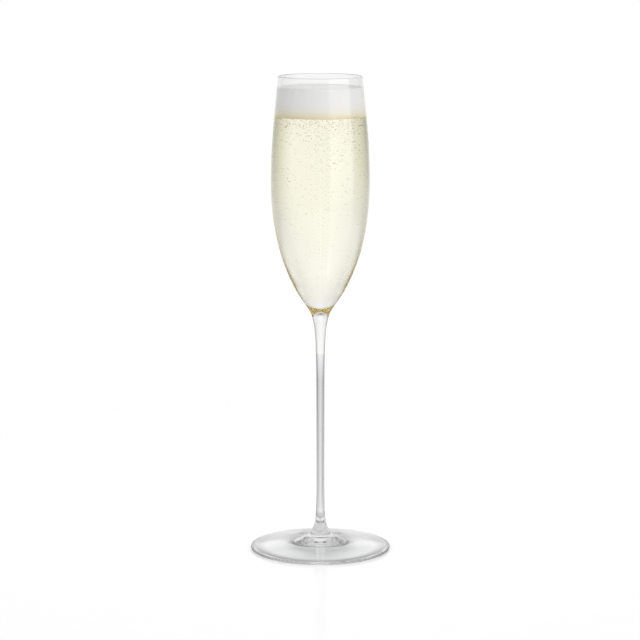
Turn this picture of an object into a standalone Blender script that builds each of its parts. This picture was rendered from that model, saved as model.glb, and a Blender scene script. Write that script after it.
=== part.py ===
"""A tall mouth-blown champagne flute with a drawn stem, as the three pieces of glass it is put together from.

Units are metres, +Z is up and the turning axis of every piece is Z. The origin is the centre of the plane the foot
rests on.

bowl   the blown bubble: an open vessel with a fire-polished lip, its widest part well below the mouth, and a solid
       pointed base that the stem is fused to
stem   the solid drawn rod, flared at both ends where it was pressed hot onto the bowl and onto the foot
foot   the spun disc: a button in the middle that takes the stem, a shallow cone outside it, a dished underside that
       keeps the disc about 1.5 mm thick, and a narrow flat ring near the rim that meets the table

Each fused joint is drawn as a gap of JOINT_GAP, so that every piece stays a body of its own.
"""

import math

import bpy

MM = 0.001

# Overall sizes, in millimetres
HEIGHT = 260.0  # table to lip
JOINT_GAP = 0.30  # between two fused pieces
RIM_R = 22.65  # outside radius at the mouth
BELLY_R = 26.78  # outside radius at the widest part
STEM_R = 2.30  # radius of the drawn rod
FOOT_R = 38.25  # radius of the foot

# Bowl
BOWL_BASE_Z = 129.40  # where the bowl's base meets the stem
BOWL_WALL = 1.00  # at the lip
BOWL_WALL_LOW = 1.45  # at the shoulder of the base
BOWL_FLOOR_Z = 135.40  # lowest point of the inside
BOWL_FLOOR_ROUND = 14.0  # height over which the inside closes to its rounded tip
# Outside of the bowl: height above the table and radius
BOWL_OUTSIDE = (
    (129.40, 4.52),
    (131.50, 5.30),
    (133.70, 6.60),
    (138.10, 9.60),
    (142.50, 12.50),
    (147.00, 14.90),
    (153.50, 17.90),
    (160.00, 20.35),
    (167.00, 22.40),
    (175.40, 24.22),
    (184.10, 25.56),
    (194.00, 26.50),
    (204.00, BELLY_R),
    (216.00, 26.45),
    (229.00, 25.60),
    (242.00, 24.43),
    (252.00, 23.45),
    (HEIGHT, RIM_R),
)

# Stem
STEM_FOOT_Z = 11.90  # where the stem meets the foot's button
STEM_OUTSIDE = (
    (STEM_FOOT_Z, 3.95),
    (13.20, 3.45),
    (15.30, 3.02),
    (18.00, 2.68),
    (21.50, 2.40),
    (28.00, 2.31),
    (50.00, STEM_R),
    (95.00, 2.31),
    (108.00, 2.41),
    (115.00, 2.62),
    (121.00, 3.05),
    (125.00, 3.52),
    (127.30, 4.00),
    (BOWL_BASE_Z - JOINT_GAP, 4.46),
)

# Foot
FOOT_EDGE = 1.60  # thickness at the rim
FOOT_EDGE_ROUND = 0.62
FOOT_RING_IN_R = 35.6  # inner radius of the flat ring that rests on the table
FOOT_RING_OUT_R = 37.3
FOOT_HOLLOW = 4.20  # how far the dish underneath rises at the axis
FOOT_DISH_TIP = 7.0  # radius over which the dish rounds off at the axis
FOOT_DISH_POWER = 1.65  # 1 is a plain cone, 2 a plain bowl
# Top of the foot, from its button out to the rim
FOOT_TOP = (
    (4.05, STEM_FOOT_Z - JOINT_GAP),
    (4.60, 10.55),
    (5.40, 9.15),
    (6.60, 7.85),
    (8.40, 6.75),
    (11.50, 5.72),
    (16.50, 4.70),
    (24.00, 3.52),
    (32.00, 2.42),
    (FOOT_R - FOOT_EDGE_ROUND, FOOT_EDGE),
)

BOWL_SIDES = 60
STEM_SIDES = 32
FOOT_SIDES = 64


def slopes(points):
    """Slopes of a smooth curve through the points that never overshoots between two of them."""
    gaps = [b[0] - a[0] for a, b in zip(points, points[1:])]
    rises = [(b[1] - a[1]) / gap for a, b, gap in zip(points, points[1:], gaps)]
    found = [rises[0]]
    for (h0, h1), (d0, d1) in zip(zip(gaps, gaps[1:]), zip(rises, rises[1:])):
        if d0 * d1 <= 0.0:
            found.append(0.0)
        else:
            w0, w1 = 2.0 * h1 + h0, h1 + 2.0 * h0
            found.append((w0 + w1) / (w0 / d0 + w1 / d1))
    return found + [rises[-1]]


def smooth(points):
    """A function of the first coordinate that passes smoothly through the points."""
    grades = slopes(points)

    def value(x):
        i = 0
        while i < len(points) - 2 and x > points[i + 1][0]:
            i += 1
        (x0, y0), (x1, y1) = points[i], points[i + 1]
        gap = x1 - x0
        t = min(max((x - x0) / gap, 0.0), 1.0)
        a = (1.0 + 2.0 * t) * (1.0 - t) ** 2
        b = t * (1.0 - t) ** 2
        c = t * t * (3.0 - 2.0 * t)
        d = t * t * (t - 1.0)
        return a * y0 + b * gap * grades[i] + c * y1 + d * gap * grades[i + 1]

    return value


def spread(low, high, count, bias=1.0):
    """count + 1 values from low to high, closer together near low when bias is over 1."""
    return [low + (high - low) * (i / count) ** bias for i in range(count + 1)]


bowl_outside = smooth(BOWL_OUTSIDE)
stem_outside = smooth(STEM_OUTSIDE)
foot_top = smooth(FOOT_TOP)


def bowl_wall(z):
    """Wall thickness measured level: thin at the lip, heavier towards the base."""
    low = BOWL_FLOOR_Z + BOWL_FLOOR_ROUND
    t = min(max((z - low) / (HEIGHT - low), 0.0), 1.0)
    return BOWL_WALL + (BOWL_WALL_LOW - BOWL_WALL) * (1.0 - t) ** 3


def bowl_inside(z):
    """Inside radius, closing to a rounded tip over the solid base."""
    radius = bowl_outside(z) - bowl_wall(z)
    t = min(max((z - BOWL_FLOOR_Z) / BOWL_FLOOR_ROUND, 0.0), 1.0)
    return radius * (1.0 - (1.0 - t) ** 2.2) ** 0.5


def bowl_profile():
    """From the tip of the inside, up the inside, over the lip and down the outside to the joint face."""
    round_r = BOWL_WALL / 2.0
    lip_z = HEIGHT - round_r
    lip_r = bowl_outside(lip_z) - round_r
    inside = [
        (bowl_inside(z), z) for z in spread(BOWL_FLOOR_Z, lip_z, 25, 1.45)[1:-1]
    ]
    lip = [
        (lip_r - round_r * math.cos(a), lip_z + round_r * math.sin(a))
        for a in spread(0.0, math.pi, 6)
    ]
    outside = [
        (bowl_outside(z), z) for z in reversed(spread(BOWL_BASE_Z, lip_z, 29, 1.25)[:-1])
    ]
    return (
        [(0.0, BOWL_FLOOR_Z)] + inside + lip + outside + [(0.0, BOWL_BASE_Z)]
    )


def stem_profile():
    """From the top joint face down the outside to the bottom joint face."""
    top = BOWL_BASE_Z - JOINT_GAP
    middle = (STEM_FOOT_Z + top) / 2.0
    upper = [top - (z - STEM_FOOT_Z) for z in spread(STEM_FOOT_Z, middle, 13, 1.7)]
    lower = list(reversed(spread(STEM_FOOT_Z, middle, 13, 1.9)))[1:]
    heights = upper + lower
    return [(0.0, top)] + [(stem_outside(z), z) for z in heights] + [(0.0, STEM_FOOT_Z)]


def foot_hollow(r):
    """Height of the dish under the foot at radius r."""

    def fall(at):
        return (at * at + FOOT_DISH_TIP**2) ** (FOOT_DISH_POWER / 2.0)

    edge = fall(FOOT_RING_IN_R)
    return FOOT_HOLLOW * (edge - fall(min(r, FOOT_RING_IN_R))) / (edge - fall(0.0))


def foot_profile():
    """From the button's joint face out over the top, round the rim and in under the foot."""
    button_z = STEM_FOOT_Z - JOINT_GAP
    edge_r = FOOT_R - FOOT_EDGE_ROUND
    top = [(r, foot_top(r)) for r in spread(FOOT_TOP[0][0], edge_r, 14, 1.6)]
    upper = [
        (edge_r + FOOT_EDGE_ROUND * math.sin(a), FOOT_EDGE - FOOT_EDGE_ROUND * (1.0 - math.cos(a)))
        for a in spread(0.0, math.pi / 2.0, 4)[1:]
    ]
    low_r = FOOT_R - FOOT_RING_OUT_R
    lower = [
        (FOOT_R - low_r * (1.0 - math.cos(a)), (FOOT_EDGE - FOOT_EDGE_ROUND) * (1.0 - math.sin(a)))
        for a in spread(0.0, math.pi / 2.0, 5)[1:]
    ]
    under = [(r, foot_hollow(r)) for r in reversed(spread(0.0, FOOT_RING_IN_R, 9)[1:])]
    return [(0.0, button_z)] + top + upper + lower + under + [(0.0, FOOT_HOLLOW)]


def glass(name, colour, roughness):
    material = bpy.data.materials.new(name)
    material.use_nodes = True
    shader = material.node_tree.nodes["Principled BSDF"]
    shader.inputs["Base Color"].default_value = (*colour, 1.0)
    shader.inputs["Roughness"].default_value = roughness
    shader.inputs["Metallic"].default_value = 0.0
    shader.inputs["IOR"].default_value = 1.52
    shader.inputs["Transmission Weight"].default_value = 1.0
    material.diffuse_color = (*colour, 1.0)
    return material


def turned(name, profile, sides, material, collection):
    """A closed body turned about Z from an outline that runs down its outer side."""
    mesh = bpy.data.meshes.new(name)
    points = [(r * MM, 0.0, z * MM) for r, z in profile]
    edges = [(i, i + 1) for i in range(len(points) - 1)]
    mesh.from_pydata(points, edges, [])
    obj = bpy.data.objects.new(name, mesh)
    collection.objects.link(obj)
    mesh.materials.append(material)
    screw = obj.modifiers.new("turn", "SCREW")
    screw.axis = "Z"
    screw.angle = math.tau
    screw.steps = sides
    screw.render_steps = sides
    screw.use_merge_vertices = True
    screw.merge_threshold = 0.00001
    screw.use_smooth_shade = True
    return obj


def main():
    for obj in list(bpy.data.objects):
        bpy.data.objects.remove(obj, do_unlink=True)

    flute = bpy.data.collections.new("champagne_flute")
    bpy.context.scene.collection.children.link(flute)

    pieces = (
        ("bowl", bowl_profile(), BOWL_SIDES, glass("bowl_glass", (0.955, 0.965, 0.960), 0.02)),
        ("stem", stem_profile(), STEM_SIDES, glass("stem_glass", (0.940, 0.952, 0.948), 0.02)),
        ("foot", foot_profile(), FOOT_SIDES, glass("foot_glass", (0.930, 0.945, 0.940), 0.03)),
    )
    for name, profile, sides, material in pieces:
        turned(name, profile, sides, material, flute)


main()
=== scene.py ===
"""The looks of the champagne flute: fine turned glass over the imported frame, filled with champagne, a head of foam and
its bubbles, on a plain pale table in soft light. Metres, +Z up, the same frame as the CAD."""

import math

import bpy
import numpy as np
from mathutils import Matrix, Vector


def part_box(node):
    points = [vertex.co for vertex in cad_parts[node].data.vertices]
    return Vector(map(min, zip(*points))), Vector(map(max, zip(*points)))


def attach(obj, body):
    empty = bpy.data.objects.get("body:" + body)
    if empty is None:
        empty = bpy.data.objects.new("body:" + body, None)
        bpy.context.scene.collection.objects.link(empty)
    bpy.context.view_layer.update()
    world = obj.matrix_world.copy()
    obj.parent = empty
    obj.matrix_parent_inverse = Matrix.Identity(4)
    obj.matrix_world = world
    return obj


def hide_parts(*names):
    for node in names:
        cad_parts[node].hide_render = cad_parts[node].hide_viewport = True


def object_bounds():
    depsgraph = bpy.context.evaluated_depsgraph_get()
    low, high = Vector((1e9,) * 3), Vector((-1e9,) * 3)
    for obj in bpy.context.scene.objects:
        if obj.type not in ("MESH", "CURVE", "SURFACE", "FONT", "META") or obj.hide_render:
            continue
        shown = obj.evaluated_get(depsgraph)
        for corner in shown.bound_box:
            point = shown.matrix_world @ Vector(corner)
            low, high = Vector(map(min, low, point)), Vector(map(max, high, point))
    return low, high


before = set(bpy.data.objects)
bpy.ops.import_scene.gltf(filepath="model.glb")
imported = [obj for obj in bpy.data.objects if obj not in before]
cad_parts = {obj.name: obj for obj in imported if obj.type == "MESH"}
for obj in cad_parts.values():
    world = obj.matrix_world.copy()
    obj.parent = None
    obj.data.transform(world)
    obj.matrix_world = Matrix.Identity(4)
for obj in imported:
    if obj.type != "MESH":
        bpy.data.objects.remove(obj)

CAD_LOW, CAD_HIGH = [Vector(v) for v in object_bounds()]
MM = 0.001
TAU = math.tau

# ---------------------------------------------------------------- where things are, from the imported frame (mm)

HEIGHT = CAD_HIGH.z / MM
BASE_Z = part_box("bowl")[0][2] / MM  # bottom face of the bowl's solid base
BUTTON_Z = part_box("foot")[1][2] / MM  # top face of the foot's button
STEM_LOW_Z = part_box("stem")[0][2] / MM
FOOT_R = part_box("foot")[1][0] / MM
BELLY_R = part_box("bowl")[1][0] / MM

RIM_R = 22.65
WALL, WALL_LOW = 1.00, 1.45
JOINT = 0.02  # the hair between two fused pieces, which lets each keep its own closed skin
FLOOR_Z, FLOOR_ROUND = 135.40, 14.0
WINE_Z = 238.55  # level of the wine under the foam
FOAM_Z = 253.90  # level of the top of the foam

BOWL_OUTSIDE = (
    (127.30, 4.00), (129.40, 4.50), (131.50, 5.30), (133.70, 6.60), (138.10, 9.60), (142.50, 12.50), (147.00, 14.90),
    (153.50, 17.90), (160.00, 20.35), (167.00, 22.40), (175.40, 24.22), (184.10, 25.56), (194.00, 26.50),
    (204.00, 26.78), (216.00, 26.45), (229.00, 25.60), (242.00, 24.43), (252.00, 23.45), (260.00, RIM_R),
)
STEM_OUTSIDE = (
    (10.55, 4.60), (11.60, 4.05), (11.90, 3.95), (13.20, 3.45), (15.30, 3.02), (18.00, 2.68), (21.50, 2.40), (28.00, 2.31),
    (50.00, 2.30), (95.00, 2.31), (108.00, 2.41), (115.00, 2.62), (121.00, 3.05), (125.00, 3.52),
    (127.30, 4.00), (129.40, 4.50), (131.50, 5.30),
)
FOOT_EDGE, FOOT_ROUND = 1.60, 0.62
RING_IN, RING_OUT, HOLLOW = 35.6, 37.3, 4.20
FOOT_TOP = (
    (3.45, 13.20), (4.05, 11.60), (4.60, 10.55), (5.40, 9.15), (6.60, 7.85), (8.40, 6.75), (11.50, 5.72), (16.50, 4.70),
    (24.00, 3.52), (32.00, 2.42), (FOOT_R - FOOT_ROUND, FOOT_EDGE),
)


def smooth(points):
    """A smooth curve through the points that never overshoots, for numpy arrays."""
    x, y = np.array(points, float).T
    h, d = np.diff(x), np.diff(y) / np.diff(x)
    m = np.concatenate([[d[0]], np.zeros(len(x) - 2), [d[-1]]])
    for i in range(1, len(x) - 1):
        if d[i - 1] * d[i] > 0:
            a, b = 2 * h[i] + h[i - 1], h[i] + 2 * h[i - 1]
            m[i] = (a + b) / (a / d[i - 1] + b / d[i])

    def value(at):
        at = np.asarray(at, float)
        i = np.clip(np.searchsorted(x, at, side="right") - 1, 0, len(x) - 2)
        t = np.clip((at - x[i]) / h[i], 0.0, 1.0)
        return (
            (1 + 2 * t) * (1 - t) ** 2 * y[i]
            + t * (1 - t) ** 2 * h[i] * m[i]
            + t * t * (3 - 2 * t) * y[i + 1]
            + t * t * (t - 1) * h[i] * m[i + 1]
        )

    return value


bowl_outside, stem_outside, foot_top = smooth(BOWL_OUTSIDE), smooth(STEM_OUTSIDE), smooth(FOOT_TOP)


def bowl_inside(z):
    z = np.asarray(z, float)
    low = FLOOR_Z + FLOOR_ROUND
    t = np.clip((z - low) / (HEIGHT - low), 0, 1)
    wall = WALL + (WALL_LOW - WALL) * (1 - t) ** 3
    s = np.clip((z - FLOOR_Z) / FLOOR_ROUND, 0, 1)
    return (bowl_outside(z) - wall) * (1 - (1 - s) ** 2.2) ** 0.5


def foot_hollow(r):
    """The underside: a dish with a rounded tip, so that the disc is nearly the same thickness all over."""
    r = np.minimum(np.asarray(r, float), RING_IN)
    lift = lambda q: (q * q + 49.0) ** 0.825
    return HOLLOW * (lift(RING_IN) - lift(r)) / (lift(RING_IN) - lift(0.0))


def resample(profile, step, least=2):
    """Points along a polyline, no further apart than step, with its own points kept."""
    out = [profile[0]]
    for a, b in zip(profile, profile[1:]):
        n = max(1, int(math.ceil(math.dist(a, b) / step)))
        out += [(a[0] + (b[0] - a[0]) * i / n, a[1] + (b[1] - a[1]) * i / n) for i in range(1, n + 1)]
    return out


# ---------------------------------------------------------------- mesh making


def lathe(profile, sides, sway=None):
    """Vertices and faces of a closed body turned about Z. The profile is in mm and runs down its outer side; its first
    and last points are on the axis. sway(x, y, z) may move the points a little, as a hand-turned piece does."""
    profile = np.array(profile, float)
    rings = profile[1:-1]
    a = np.arange(sides) * TAU / sides
    r, z = rings[:, :1], rings[:, 1:]
    points = np.stack([r * np.cos(a), r * np.sin(a), z + 0 * a], axis=-1).reshape(-1, 3)
    points = np.vstack([[0, 0, profile[0, 1]], points, [0, 0, profile[-1, 1]]])
    if sway is not None:
        points = sway(points)
    n, last = len(rings), len(points) - 1
    j, k = np.arange(sides), (np.arange(sides) + 1) % sides
    faces = [(0, 1 + p, 1 + q) for p, q in zip(j, k)]
    for i in range(n - 1):
        u, v = 1 + i * sides, 1 + (i + 1) * sides
        faces += list(zip((u + j).tolist(), (v + j).tolist(), (v + k).tolist(), (u + k).tolist()))
    w = 1 + (n - 1) * sides
    faces += [(w + p, last, w + q) for p, q in zip(j.tolist(), k.tolist())]
    return points, faces


def make(name, points, faces, material, others=(), choose=None):
    """An object from points in mm. choose(centre) gives a face's material, by number, from material and others."""
    points = np.asarray(points)
    mesh = bpy.data.meshes.new(name)
    mesh.from_pydata((points * MM).tolist(), [], [tuple(int(i) for i in f) for f in faces])
    mesh.validate()
    for one in (material, *others):
        mesh.materials.append(one)
    if choose:
        for face in mesh.polygons:
            face.material_index = choose(face.center / MM, face.normal)
    mesh.shade_smooth()
    mesh.set_sharp_from_angle(angle=math.radians(50))
    obj = bpy.data.objects.new(name, mesh)
    bpy.context.scene.collection.objects.link(obj)
    return obj


def hand(amount, turns, pitch, seed):
    """Slow wander of a mouth-blown wall: a few hundredths of a millimetre, in radius only."""
    rng = np.random.default_rng(seed)
    phase = rng.uniform(0, TAU, (len(turns), 2))

    def sway(p):
        r = np.hypot(p[:, 0], p[:, 1])
        a = np.arctan2(p[:, 1], p[:, 0])
        move = sum(
            amount / (i + 1) * np.sin(t * a + phase[i, 0] + 0.8 * np.sin(TAU * p[:, 2] / pitch + phase[i, 1]))
            for i, t in enumerate(turns)
        )
        scale = 1 + np.where(r > 0.01, move * np.clip(r / 20, 0, 1) / np.maximum(r, 0.01), 0)
        q = p.copy()
        q[:, :2] *= scale[:, None]
        return q

    return sway


# ---------------------------------------------------------------- materials


def nodes_of(name):
    material = bpy.data.materials.new(name)
    material.use_nodes = True
    tree = material.node_tree
    return material, tree, tree.nodes["Principled BSDF"]


def node(tree, kind, **values):
    n = tree.nodes.new(kind)
    for k, v in values.items():
        if hasattr(n, k):
            setattr(n, k, v)
        else:
            n.inputs[k.replace("_", " ")].default_value = v
    return n


def noise(tree, scale, detail=3.0, rough=0.5, stretch=(1, 1, 1)):
    """Noise in the piece's own space, stretched along an axis if asked."""
    where = tree.nodes.new("ShaderNodeTexCoord")
    place = tree.nodes.new("ShaderNodeMapping")
    place.inputs["Scale"].default_value = stretch
    tree.links.new(where.outputs["Object"], place.inputs["Vector"])
    n = tree.nodes.new("ShaderNodeTexNoise")
    n.inputs["Scale"].default_value = scale
    n.inputs["Detail"].default_value = detail
    n.inputs["Roughness"].default_value = rough
    tree.links.new(place.outputs["Vector"], n.inputs["Vector"])
    return n


def span(tree, source, low, high, at_low=0.35, at_high=0.65):
    n = tree.nodes.new("ShaderNodeMapRange")
    n.inputs["From Min"].default_value, n.inputs["From Max"].default_value = at_low, at_high
    n.inputs["To Min"].default_value, n.inputs["To Max"].default_value = low, high
    tree.links.new(source, n.inputs["Value"])
    return n.outputs["Result"]


def blend_colours(tree, source, a, b):
    n = tree.nodes.new("ShaderNodeMix")
    n.data_type = "RGBA"
    n.inputs[6].default_value, n.inputs[7].default_value = (*a, 1), (*b, 1)
    tree.links.new(source, n.inputs[0])
    return n.outputs[2]


GLASS_IOR, WINE_IOR = 1.545, 1.345


def glass(name, low, high, rough, bump):
    """Clear blown glass: a faint change of tint and gloss along the piece, from the handling and the wiping."""
    material, tree, p = nodes_of(name)
    p.inputs["Transmission Weight"].default_value = 1.0
    p.inputs["IOR"].default_value = GLASS_IOR
    tint = noise(tree, 60, 3, 0.55, (1, 1, 0.35))
    tree.links.new(
        blend_colours(tree, span(tree, tint.outputs["Fac"], 0, 1), low, high), p.inputs["Base Color"]
    )
    wipe = noise(tree, 140, 4, 0.6, (1, 1, 0.2))
    tree.links.new(span(tree, wipe.outputs["Fac"], 0.0, rough, 0.45, 0.75), p.inputs["Roughness"])
    wave = noise(tree, 45, 2, 0.4, (1, 1, 0.25))
    b = tree.nodes.new("ShaderNodeBump")
    b.inputs["Strength"].default_value = bump
    b.inputs["Distance"].default_value = 0.0002
    tree.links.new(wave.outputs["Fac"], b.inputs["Height"])
    tree.links.new(b.outputs["Normal"], p.inputs["Normal"])
    return material


def joined(name, ior):
    """A face where one clear body meets another: it bends light by the ratio of the two, and not at all where they
    are the same glass, fused."""
    material, tree, p = nodes_of(name)
    p.inputs["Transmission Weight"].default_value = 1.0
    p.inputs["IOR"].default_value = ior
    p.inputs["Roughness"].default_value = 0.0
    p.inputs["Base Color"].default_value = (1, 1, 1, 1)
    return material


def wine_material():
    material, tree, p = nodes_of("champagne")
    p.inputs["Transmission Weight"].default_value = 1.0
    p.inputs["IOR"].default_value = WINE_IOR
    wet = tree.nodes.new("ShaderNodeAttribute")  # 1 where the wine wets the glass, whose own wall bends the light
    wet.attribute_name = "wet"
    tree.links.new(span(tree, wet.outputs["Fac"], WINE_IOR, 1.0, 0, 1), p.inputs["IOR"])
    p.inputs["Roughness"].default_value = 0.0
    drift = noise(tree, 35, 2, 0.5)
    tree.links.new(
        blend_colours(tree, span(tree, drift.outputs["Fac"], 0, 1), (0.999, 0.999, 0.997), (1.0, 1.0, 1.0)),
        p.inputs["Base Color"],
    )
    take = tree.nodes.new("ShaderNodeVolumeAbsorption")
    take.inputs["Color"].default_value = (0.995, 0.935, 0.28, 1)
    take.inputs["Density"].default_value = 5.7
    tree.links.new(take.outputs["Volume"], tree.nodes["Material Output"].inputs["Volume"])
    return material


def foam_material():
    material, tree, p = nodes_of("foam")
    where = tree.nodes.new("ShaderNodeTexCoord")
    part = tree.nodes.new("ShaderNodeSeparateXYZ")
    tree.links.new(where.outputs["Object"], part.inputs[0])
    ramp = tree.nodes.new("ShaderNodeValToRGB")
    stops = ramp.color_ramp
    stops.elements[0].position, stops.elements[0].color = 0.0, (0.78, 0.60, 0.30, 1)
    stops.elements[1].position, stops.elements[1].color = 1.0, (0.93, 0.93, 0.925, 1)
    for at, colour in ((0.06, (0.87, 0.76, 0.51)), (0.22, (0.91, 0.86, 0.70)), (0.48, (0.925, 0.91, 0.845))):
        e = stops.elements.new(at)
        e.color = (*colour, 1)
    tree.links.new(
        span(tree, part.outputs["Z"], 0, 1, (WINE_Z - 0.3) * MM, (WINE_Z + 8.0) * MM), ramp.inputs["Fac"]
    )
    cells = tree.nodes.new("ShaderNodeTexVoronoi")
    cells.feature = "SMOOTH_F1"
    cells.inputs["Scale"].default_value = 1900
    cells.inputs["Smoothness"].default_value = 0.25
    tree.links.new(where.outputs["Object"], cells.inputs["Vector"])
    shade = tree.nodes.new("ShaderNodeMix")
    shade.data_type, shade.blend_type = "RGBA", "MULTIPLY"
    shade.inputs[0].default_value = 1.0
    tree.links.new(ramp.outputs["Color"], shade.inputs[6])
    tree.links.new(
        blend_colours(
            tree, span(tree, cells.outputs["Distance"], 0, 1, 0.15, 0.75), (1, 1, 1), (0.965, 0.96, 0.945)
        ),
        shade.inputs[7],
    )
    tree.links.new(shade.outputs[2], p.inputs["Base Color"])
    p.inputs["Roughness"].default_value = 0.45
    p.inputs["Subsurface Weight"].default_value = 0.35
    p.inputs["Subsurface Radius"].default_value = (1.0, 0.95, 0.85)
    p.inputs["Subsurface Scale"].default_value = 0.0015
    b = tree.nodes.new("ShaderNodeBump")
    b.invert = True
    b.inputs["Strength"].default_value = 0.35
    b.inputs["Distance"].default_value = 0.0002
    tree.links.new(cells.outputs["Distance"], b.inputs["Height"])
    tree.links.new(b.outputs["Normal"], p.inputs["Normal"])
    return material


# ---------------------------------------------------------------- the glass

GLASS_BOWL = glass("bowl_glass", (0.994, 0.997, 0.996), (1.0, 1.0, 1.0), 0.012, 0.03)
GLASS_STEM = glass("stem_glass", (0.975, 0.982, 0.980), (0.995, 0.998, 0.997), 0.015, 0.04)
FUSED = joined("fused_joint", 1.0)
WETTED = joined("wetted_wall", GLASS_IOR / WINE_IOR)
GLASS_FOOT = glass("foot_glass", (0.970, 0.978, 0.976), (0.992, 0.996, 0.995), 0.02, 0.05)


def curve(f, zs):
    zs = np.asarray(zs, float)
    return [(float(r), float(z)) for r, z in zip(f(zs), zs)]


def eased(low, high, count, bias):
    return low + (high - low) * (np.arange(count + 1) / count) ** bias


def make_bowl():
    lip = WALL / 2
    lip_z = HEIGHT - lip
    lip_r = float(bowl_outside(lip_z)) - lip
    inside = curve(bowl_inside, eased(FLOOR_Z, lip_z, 170, 1.5)[1:-1])
    round_lip = [
        (lip_r - lip * math.cos(a), lip_z + lip * math.sin(a)) for a in np.linspace(0, math.pi, 17)
    ]
    outside = curve(bowl_outside, eased(BASE_Z, lip_z, 180, 1.3)[:-1][::-1])
    under = [(r, BASE_Z) for r in (3.4, 2.2, 1.0)]
    profile = [(0, FLOOR_Z)] + inside + round_lip + outside + under + [(0, BASE_Z)]
    points, faces = lathe(profile, 192, hand(0.035, (2, 3, 5), 90, 11))

    def choose(c, n):
        if c.z < BASE_Z + 0.01:
            return 2
        return 1 if c.z < FOAM_Z and c.z > FLOOR_Z - 0.01 and n.x * c.x + n.y * c.y < 1e-9 and n.z > -0.2 else 0

    return make("bowl_clear", points, faces, GLASS_BOWL, (WETTED, FUSED), choose)


def make_stem():
    low, top = BUTTON_Z + JOINT, BASE_Z - JOINT
    middle = (low + top) / 2
    heights = np.concatenate([top - (eased(low, middle, 90, 1.6) - low), eased(low, middle, 90, 1.7)[::-1][1:]])
    side = curve(stem_outside, heights)
    profile = [(0, top)] + [(r, top) for r in (1.2, 2.6, 3.8)] + side + [(r, low) for r in (3.0, 1.6)] + [(0, low)]
    points, faces = lathe(profile, 96)
    ends = lambda c, n: 1 if c.z > top - 0.01 or c.z < low + 0.01 else 0
    return make("stem_clear", points, faces, GLASS_STEM, (FUSED,), ends)


def make_foot():
    edge_r = FOOT_R - FOOT_ROUND
    top = [(r, float(foot_top(r))) for r in eased(FOOT_TOP[1][0], edge_r, 120, 1.7)]
    upper = [
        (edge_r + FOOT_ROUND * math.sin(a), FOOT_EDGE - FOOT_ROUND * (1 - math.cos(a)))
        for a in np.linspace(0, math.pi / 2, 9)[1:]
    ]
    low_r = FOOT_R - RING_OUT
    lower = [
        (FOOT_R - low_r * (1 - math.cos(a)), (FOOT_EDGE - FOOT_ROUND) * (1 - math.sin(a)))
        for a in np.linspace(0, math.pi / 2, 11)[1:]
    ]
    ring = [(r, 0.0) for r in np.linspace(RING_OUT, RING_IN, 9)[1:-1]]
    under = [(r, float(foot_hollow(r))) for r in np.linspace(RING_IN, 0, 61)[:-1]]
    button = [(r, BUTTON_Z) for r in (1.2, 2.4, 3.4)]
    profile = [(0, BUTTON_Z)] + button + top + upper + lower + ring + under + [(0, HOLLOW)]
    points, faces = lathe(profile, 224, hand(0.03, (2, 3), 400, 5))
    points[:, 2] = np.maximum(points[:, 2], 0)
    return make("foot_clear", points, faces, GLASS_FOOT, (FUSED,), lambda c, n: 1 if c.z > BUTTON_Z - 0.01 else 0)


bowl, stem, foot = make_bowl(), make_stem(), make_foot()
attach(bowl, "root"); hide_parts("bowl")
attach(stem, "root"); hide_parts("stem")
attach(foot, "root"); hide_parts("foot")

# ---------------------------------------------------------------- the champagne

OVERLAP = 0.05  # the wine and the foam reach this far into the wall, so that no air lies between


def ball():
    """A small sphere of 42 points and 80 faces, facing in: the wall of a bubble."""
    g = (1 + 5**0.5) / 2
    v = [(-1, g, 0), (1, g, 0), (-1, -g, 0), (1, -g, 0), (0, -1, g), (0, 1, g), (0, -1, -g), (0, 1, -g),
         (g, 0, -1), (g, 0, 1), (-g, 0, -1), (-g, 0, 1)]
    f = [(0, 11, 5), (0, 5, 1), (0, 1, 7), (0, 7, 10), (0, 10, 11), (1, 5, 9), (5, 11, 4), (11, 10, 2),
         (10, 7, 6), (7, 1, 8), (3, 9, 4), (3, 4, 2), (3, 2, 6), (3, 6, 8), (3, 8, 9), (4, 9, 5), (2, 4, 11),
         (6, 2, 10), (8, 6, 7), (9, 8, 1)]
    points = [np.array(p) / np.linalg.norm(p) for p in v]
    middle, faces = {}, []

    def between(a, b):
        key = (min(a, b), max(a, b))
        if key not in middle:
            m = points[a] + points[b]
            middle[key] = len(points)
            points.append(m / np.linalg.norm(m))
        return middle[key]

    for a, b, c in f:
        ab, bc, ca = between(a, b), between(b, c), between(c, a)
        faces += [(a, ab, ca), (b, bc, ab), (c, ca, bc), (ab, bc, ca)]
    return np.array(points), np.array(faces)[:, ::-1]


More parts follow.
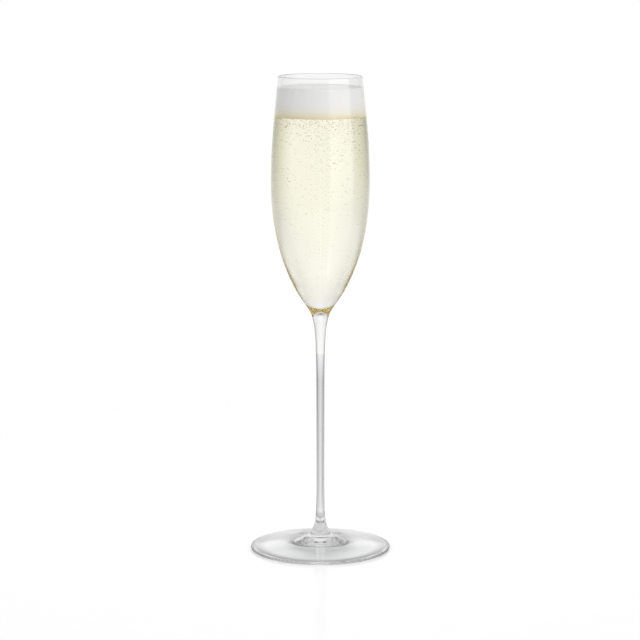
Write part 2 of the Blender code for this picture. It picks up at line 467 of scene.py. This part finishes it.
def bubble_places():
    """Centre and radius of each bubble, in mm: many cling to the wall in the upper third, some rise in threads from
    the tip, and a few float free."""
    rng = np.random.default_rng(28)
    found = []

    def add(x, y, z, r):
        if z + r > WINE_Z - 0.35 or z - r < FLOOR_Z + 1.0:
            return
        if math.hypot(x, y) + r > float(bowl_inside(z)) - 0.03:
            return
        if found:
            near = np.array(found)
            if (np.linalg.norm(near[:, :3] - (x, y, z), axis=1) < near[:, 3] + r + 0.03).any():
                return
        found.append((x, y, z, r))

    for _ in range(2700):  # on the wall
        depth = rng.exponential(14.0)
        z = WINE_Z - 0.6 - depth
        if depth > 92:
            continue
        a = rng.uniform(0, TAU)
        if depth > 8 and math.sin(2 * a + 1.3) + math.sin(3 * a + z / 9.0) < rng.uniform(-1.9, 0.6):
            continue
        r = float(np.clip(rng.lognormal(-1.84, 0.30), 0.09, 0.32))
        rr = float(bowl_inside(z)) - r - 0.06
        add(rr * math.cos(a), rr * math.sin(a), z, r)
    for _ in range(230):  # free
        z = FLOOR_Z + 6 + (WINE_Z - FLOOR_Z - 8) * rng.uniform(0, 1) ** 0.55
        a, q = rng.uniform(0, TAU), rng.uniform(0, 1) ** 0.5
        rr = q * (float(bowl_inside(z)) - 0.8)
        add(rr * math.cos(a), rr * math.sin(a), z, float(rng.uniform(0.10, 0.26)))
    for a, out in ((0.4, 0.8), (1.9, 1.6), (3.3, 1.1), (4.4, 2.0), (5.5, 1.4), (2.6, 0.3)):  # threads
        z, r, i = FLOOR_Z + 2.2 + out, 0.085, 0
        while z < WINE_Z - 1:
            lean = out * (1 + (z - FLOOR_Z) / 42.0)
            add(
                lean * math.cos(a + z / 260) + rng.normal(0, 0.07),
                lean * math.sin(a + z / 260) + rng.normal(0, 0.07),
                z, r * rng.uniform(0.94, 1.06),
            )
            z += 1.25 + 0.021 * (z - FLOOR_Z) + rng.uniform(-0.15, 0.15)
            r = 0.085 + 0.00165 * (z - FLOOR_Z)
    return np.array(found)


def make_wine():
    side = curve(lambda z: bowl_inside(z) + OVERLAP, eased(FLOOR_Z + 0.02, WINE_Z, 190, 1.45)[1:])
    top = [(r, WINE_Z) for r in np.linspace(0, side[-1][0], 22)[1:-1]]
    profile = [(0, WINE_Z)] + top + side[::-1] + [(0, FLOOR_Z - OVERLAP)]
    points, faces = lathe(profile, 160)
    shell, skin = ball()
    places = bubble_places()
    n = len(points)
    clouds = [points] + [shell * (r, r, r * 1.03) + (x, y, z) for x, y, z, r in places]
    faces = faces + [
        tuple(f) for i in range(len(places)) for f in (skin + (n + i * len(shell))).tolist()
    ]
    wine = make("champagne", np.vstack(clouds), faces, wine_material())
    wet = wine.data.attributes.new("wet", "FLOAT", "FACE")
    shell_faces = len(wine.data.polygons) - len(places) * len(skin)
    wet.data.foreach_set(
        "value", [float(i < shell_faces and f.center.z < (WINE_Z - 0.001) * MM) for i, f in enumerate(wine.data.polygons)]
    )
    return wine


def make_foam():
    """The head: fine foam that wets the wall, a little higher at the edge, with larger bubbles in its surface."""
    rng = np.random.default_rng(7)
    low = WINE_Z - 0.10
    edge = float(bowl_inside(FOAM_Z)) + OVERLAP
    side = curve(lambda z: bowl_inside(z) + OVERLAP, np.linspace(FOAM_Z, low, 90))
    top = [(r, FOAM_Z) for r in np.linspace(0, edge, 96)[1:-1]]
    under = [(r, low) for r in np.linspace(side[-1][0], 0, 80)[1:-1]]
    points, faces = lathe([(0, FOAM_Z)] + top + side + under + [(0, low)], 260)
    r = np.hypot(points[:, 0], points[:, 1])
    up = points[:, 2] > FOAM_Z - 1e-6
    down = points[:, 2] < low + 1e-6
    # surface bubbles: domes of many sizes
    count = 620
    q = np.sqrt(rng.uniform(0, 1, count)) * (edge - 0.3)
    a = rng.uniform(0, TAU, count)
    size = np.clip(rng.lognormal(-0.75, 0.45, count), 0.22, 1.5)
    lift = np.zeros(len(points))
    for cx, cy, s in zip(q * np.cos(a), q * np.sin(a), size):
        d2 = ((points[:, 0] - cx) ** 2 + (points[:, 1] - cy) ** 2) / (s * s)
        dome = np.sqrt(np.clip(1 - d2, 0, 1)) * s * 0.45
        lift = np.maximum(lift, np.where(up, dome, 0))
    creep = np.exp(-(edge - r) / 0.7) * 0.30  # the foam climbs the wall a little
    points[:, 2] += np.where(up & (r < edge - 1e-6), lift * np.clip((edge - r) / 0.4, 0, 1), 0) + np.where(up, creep, 0)
    rough = rng.normal(0, 0.05, len(points))
    points[:, 2] += np.where(down & (r < side[-1][0] - 0.2), rough - 0.05, 0)
    return make("foam", points, faces, foam_material())


wine, foam = make_wine(), make_foam()
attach(wine, "root")
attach(foam, "root")

# ---------------------------------------------------------------- table, light and camera


def tinted(value, warm):
    return (value, value * (1 - 0.2 * warm), value * (1 - warm), 1)


def turn_of(tree, vector):
    """0 and 1 behind the glass, 0.5 in front of it, rising to its right; and the vector's parts."""
    link = tree.links.new
    xyz = tree.nodes.new("ShaderNodeSeparateXYZ")
    link(vector, xyz.inputs[0])
    back = tree.nodes.new("ShaderNodeMath")
    back.operation = "MULTIPLY"
    back.inputs[1].default_value = -1
    link(xyz.outputs["Y"], back.inputs[0])
    turn = tree.nodes.new("ShaderNodeMath")
    turn.operation = "ARCTAN2"
    link(xyz.outputs["X"], turn.inputs[0])
    link(back.outputs[0], turn.inputs[1])
    part = tree.nodes.new("ShaderNodeMapRange")
    part.inputs["From Min"].default_value, part.inputs["From Max"].default_value = -math.pi, math.pi
    link(turn.outputs[0], part.inputs["Value"])
    return part.outputs["Result"], xyz


def ring_light(tree, turn, angles, values, warm):
    """Light by direction round the glass: a value at each angle, and how warm it is there."""
    ring = tree.nodes.new("ShaderNodeValToRGB")
    stops = ring.color_ramp
    stops.interpolation = "LINEAR"
    places = list(zip(angles, values, warm)) + [(180, values[0], warm[0])]
    stops.elements[0].position, stops.elements[0].color = 0.0, tinted(*places[0][1:])
    stops.elements[1].position, stops.elements[1].color = 1.0, tinted(*places[-1][1:])
    for at, value, w in places[1:-1]:
        e = stops.elements.new((at + 180) / 360)
        e.color = tinted(value, w)
    tree.links.new(turn, ring.inputs["Fac"])
    return ring.outputs["Color"]


def stacked(tree, source, rows):
    """Goes from one row's colour to the next as source passes the place of each."""
    colour = rows[0][1]
    for (low, _), (high, upper) in zip(rows, rows[1:]):
        step = tree.nodes.new("ShaderNodeMapRange")
        step.inputs["From Min"].default_value, step.inputs["From Max"].default_value = low, high
        tree.links.new(source, step.inputs["Value"])
        colour = mixed(tree, step.outputs["Result"], colour, upper)
    return colour


def by_ray(tree, turn, colour):
    """The panels in front stand at full strength in reflections and on the foam. Seen through the glass they are
    toned down, so that the glass isn't lost against them from behind."""
    link = tree.links.new
    side = tree.nodes.new("ShaderNodeMath")
    side.operation = "SUBTRACT"
    side.inputs[1].default_value = 0.5
    link(turn, side.inputs[0])
    away = tree.nodes.new("ShaderNodeMath")
    away.operation = "ABSOLUTE"
    link(side.outputs[0], away.inputs[0])
    toned = tree.nodes.new("ShaderNodeVectorMath")
    toned.operation = "SCALE"
    link(colour, toned.inputs[0])
    link(span(tree, away.outputs[0], FRONT_TONED, 1.0, 0.25, 0.29), toned.inputs["Scale"])
    through = tree.nodes.new("ShaderNodeVectorMath")
    through.operation = "MINIMUM"
    through.inputs[1].default_value = (1.0, 1.0, 1.0)
    link(toned.outputs["Vector"], through.inputs[0])
    filled = tree.nodes.new("ShaderNodeVectorMath")
    filled.operation = "MAXIMUM"
    filled.inputs[1].default_value = (FOAM_FILL,) * 3
    link(colour, filled.inputs[0])
    path = tree.nodes.new("ShaderNodeLightPath")
    clear = mixed(tree, path.outputs["Is Transmission Ray"], colour, through.outputs["Vector"])
    scattered = tree.nodes.new("ShaderNodeMath")
    scattered.operation = "GREATER_THAN"
    scattered.inputs[1].default_value = 0.5
    link(path.outputs["Diffuse Depth"], scattered.inputs[0])
    return mixed(tree, scattered.outputs[0], clear, filled.outputs["Vector"])


def mixed(tree, factor, a, b, kind="MIX"):
    n = tree.nodes.new("ShaderNodeMix")
    n.data_type, n.blend_type = "RGBA", kind
    for socket, value in ((n.inputs[0], factor), (n.inputs[6], a), (n.inputs[7], b)):
        if isinstance(value, (int, float)):
            socket.default_value = value if socket == n.inputs[0] else (value, value, value, 1)
        else:
            tree.links.new(value, socket)
    return n.outputs[2]


def ramp_of(tree, source, stops):
    """A grey ramp through (position, value) pairs."""
    n = tree.nodes.new("ShaderNodeValToRGB")
    line = n.color_ramp
    line.interpolation = "EASE"
    line.elements[0].position, line.elements[0].color = stops[0][0], (stops[0][1],) * 3 + (1,)
    line.elements[1].position, line.elements[1].color = stops[-1][0], (stops[-1][1],) * 3 + (1,)
    for at, value in stops[1:-1]:
        e = line.elements.new(at)
        e.color = (value, value, value, 1)
    tree.links.new(source, n.inputs["Fac"])
    return n.outputs["Color"]


def make_table():
    """A round pale table top with a soft shine, that fades into the backdrop far out. Seen from the glass it is a glow
    with painted light and shade: dimmer to the sides and brighter again with distance, like a lit studio sweep, with a
    painted shadow under the foot and round its rim."""
    points, faces = [(0, 0, 0)], []
    rings, sides = (60, 140, 260, 420, 560, TABLE_R / MM), 96
    for r in rings:
        points += [(r * math.cos(TAU * i / sides), r * math.sin(TAU * i / sides), 0) for i in range(sides)]
    for i in range(sides):
        faces.append((0, 1 + i, 1 + (i + 1) % sides))
    for k in range(len(rings) - 1):
        a, b = 1 + k * sides, 1 + (k + 1) * sides
        faces += [(a + i, b + i, b + (i + 1) % sides, a + (i + 1) % sides) for i in range(sides)]
    points = [(x, y, -0.05) for x, y, z in points]  # a hair under the foot
    material, tree, p = nodes_of("table")
    link = tree.links.new
    speck = noise(tree, 30, 2)
    link(
        blend_colours(
            tree, span(tree, speck.outputs["Fac"], 0, 1), (TABLE_GREY,) * 3, (TABLE_GREY + 0.005,) * 3
        ),
        p.inputs["Base Color"],
    )
    p.inputs["Roughness"].default_value = 0.10
    p.inputs["Specular IOR Level"].default_value = TABLE_SHINE
    where = tree.nodes.new("ShaderNodeTexCoord")
    reach = tree.nodes.new("ShaderNodeVectorMath")
    reach.operation = "LENGTH"
    link(where.outputs["Object"], reach.inputs[0])
    turn = turn_of(tree, where.outputs["Object"])[0]
    rows = [(FLOOR_MIDDLE[0] * MM, FLOOR_MIDDLE[1])]
    for angles, rings_of in ((NEAR_ANGLES, FLOOR_NEAR), (ANGLES, FLOOR_FAR)):
        none = (0,) * len(angles)
        rows += [(r * MM, ring_light(tree, turn, angles, values, none)) for r, values in rings_of]
    # painted light and shade: what the glass sees of the table is this glow, not the table's lit shading
    glow = tree.nodes.new("ShaderNodeEmission")
    light = stacked(tree, reach.outputs["Value"], rows)
    far = span(tree, reach.outputs["Value"], 0, 1, *SHADE_ENDS)
    link(mixed(tree, far, light, by_ray(tree, turn, light)), glow.inputs["Color"])
    lift = tree.nodes.new("ShaderNodeEmission")
    lift.inputs["Color"].default_value = (TABLE_LIFT,) * 3 + (1,)
    seen = tree.nodes.new("ShaderNodeAddShader")
    link(p.outputs[0], seen.inputs[0])
    link(lift.outputs[0], seen.inputs[1])
    path = tree.nodes.new("ShaderNodeLightPath")
    pick = tree.nodes.new("ShaderNodeMixShader")
    link(path.outputs["Is Camera Ray"], pick.inputs["Fac"])
    link(glow.outputs[0], pick.inputs[1])
    clear = tree.nodes.new("ShaderNodeBsdfTransparent")
    fade = tree.nodes.new("ShaderNodeMixShader")
    link(span(tree, reach.outputs["Value"], 0, 1, *TABLE_FADE), fade.inputs["Fac"])
    link(seen.outputs[0], fade.inputs[1])
    link(clear.outputs[0], fade.inputs[2])
    link(fade.outputs[0], pick.inputs[2])
    link(pick.outputs[0], tree.nodes["Material Output"].inputs["Surface"])
    table = make("table", points, faces, material)
    return table


def make_world():
    """A bright backdrop with soft panels round it, so that the glass has something to show. What the camera sees past
    the table is plain white."""
    world = bpy.data.worlds.new("studio")
    bpy.context.scene.world = world
    world.use_nodes = True
    tree = world.node_tree
    tree.nodes.clear()
    link = tree.links.new
    where = tree.nodes.new("ShaderNodeTexCoord")
    turn, xyz = turn_of(tree, where.outputs["Generated"])
    none = (0,) * len(ANGLES)
    rows = [
        (math.sin(math.radians(up)), ring_light(tree, turn, ANGLES, values, WARM if up < -5 else none))
        for up, values in SKY
    ]
    rows.append((math.sin(math.radians(SKY_TOP[0])), SKY_TOP[1]))
    around = tree.nodes.new("ShaderNodeBackground")
    link(by_ray(tree, turn, stacked(tree, xyz.outputs["Z"], rows)), around.inputs["Color"])
    plain = tree.nodes.new("ShaderNodeBackground")
    plain.inputs["Color"].default_value = (1, 1, 1, 1)
    path = tree.nodes.new("ShaderNodeLightPath")
    pick = tree.nodes.new("ShaderNodeMixShader")
    link(path.outputs["Is Camera Ray"], pick.inputs["Fac"])
    link(around.outputs[0], pick.inputs[1])
    link(plain.outputs[0], pick.inputs[2])
    out = tree.nodes.new("ShaderNodeOutputWorld")
    link(pick.outputs[0], out.inputs["Surface"])


# The studio, as brightness round the glass by degrees from its front, positive to its right: a backdrop at 180, flags
# beside it, fills at the left and in front, and a large soft box to the right
ANGLES = (-180, -160, -142, -124, -106, -60, 0, 18, 26, 78, 88, 106, 124, 142, 160)
WARM = (0, 0.06, 0.32, 0.36, 0.30, 0, 0, 0, 0, 0, 0, 0.30, 0.36, 0.32, 0.06)
FRONT_TONED = 0.62
SHADE_ENDS = (0.075, 0.150)  # from here out the table is toned too
FOAM_FILL = 0.75
SKY = (  # degrees above the horizon, and the brightness at each of the angles
    (-15, (0.90, 0.88, 0.62, 0.10, 0.62, 1.40, 1.50, 1.60, 2.40, 2.20, 1.20, 0.72, 0.12, 0.60, 0.97)),
    (0, (0.97, 0.84, 0.80, 0.64, 0.64, 1.35, 1.25, 1.30, 3.10, 2.70, 0.40, 0.40, 0.60, 0.70, 0.86)),
    (14, (1.02, 0.76, 0.86, 0.64, 0.06, 0.25, 0.95, 1.05, 1.40, 0.80, 0.02, 0.04, 0.74, 0.96, 0.80)),
    (28, (0.14, 0.42, 0.60, 0.50, 0.60, 0.90, 0.70, 0.85, 1.15, 0.55, 0.40, 0.35, 0.42, 0.60, 0.54)),
    (45, (0.74, 0.80, 0.74, 0.72, 0.95, 1.10, 0.65, 0.70, 1.35, 1.25, 1.10, 0.90, 0.75, 0.76, 0.80)),
)
SKY_TOP = (65, 0.94)
TABLE_R = 0.700
TABLE_FADE = (0.18, 0.42)  # where the table fades out, as seen directly
TABLE_GREY, TABLE_SHINE, TABLE_LIFT = 0.97, 0.30, 0.14
NEAR_ANGLES = (-180, -157, -135, -112, -90, -45, 0, 45, 90, 112, 135, 157)
FLOOR_MIDDLE = (12, 0.66)  # the painted shade under the foot: mm from the axis, and how bright it is
FLOOR_NEAR = (  # the shade under the foot and round its rim
    (21, (0.50, 0.03, 0.40, 0.98, 1.00, 0.95, 0.66, 0.88, 0.98, 0.98, 0.45, 0.03)),
    (30, (0.22, 0.03, 0.36, 0.92, 1.05, 0.95, 0.75, 1.00, 1.00, 0.92, 0.42, 0.05)),
    (37, (0.60, 0.85, 0.70, 0.46, 0.40, 0.12, 0.30, 0.10, 0.38, 0.46, 0.75, 0.95)),
    (43, (0.40, 0.44, 0.42, 0.32, 0.26, 0.10, 0.08, 0.08, 0.12, 0.14, 0.30, 0.42)),
    (70, (0.90, 0.74, 0.60, 0.50, 0.48, 0.30, 0.12, 0.20, 0.30, 0.38, 0.55, 0.74)),
)
FLOOR_FAR = (
    (155, (0.84, 0.38, 0.42, 0.75, 1.05, 1.60, 1.20, 1.50, 2.50, 2.30, 1.80, 1.30, 0.80, 0.40, 0.48)),
    (500, (0.68, 0.42, 0.26, 0.36, 1.00, 1.65, 1.85, 1.95, 2.70, 2.50, 1.80, 1.20, 0.32, 0.16, 0.50)),
    (690, (0.85, 0.82, 0.46, 0.20, 0.75, 1.40, 1.50, 1.60, 2.60, 2.40, 1.30, 0.85, 0.22, 0.38, 0.84)),
)

make_table()
make_world()

camera = bpy.data.objects.new("camera", bpy.data.cameras.new("camera"))
bpy.context.scene.collection.objects.link(camera)
camera.data.sensor_width = 36.0
camera.data.lens = 141.34
camera.data.clip_start, camera.data.clip_end = 0.05, 20
camera.location = (-0.0002, -1.3507, 0.3477)
camera.rotation_euler = (math.radians(90 - 9.265), 0, 0)
bpy.context.scene.camera = camera

scene = bpy.context.scene
scene.view_settings.view_transform = "Standard"
scene.view_settings.look = "None"
scene.view_settings.exposure = 0.0
scene.cycles.max_bounces = 48
scene.cycles.transmission_bounces = 48
scene.cycles.glossy_bounces = 32
scene.cycles.transparent_max_bounces = 16
scene.cycles.diffuse_bounces = 4
scene.cycles.caustics_reflective = True
scene.cycles.caustics_refractive = True
scene.cycles.blur_glossy = 0.3
scene.cycles.sample_clamp_indirect = 8.0
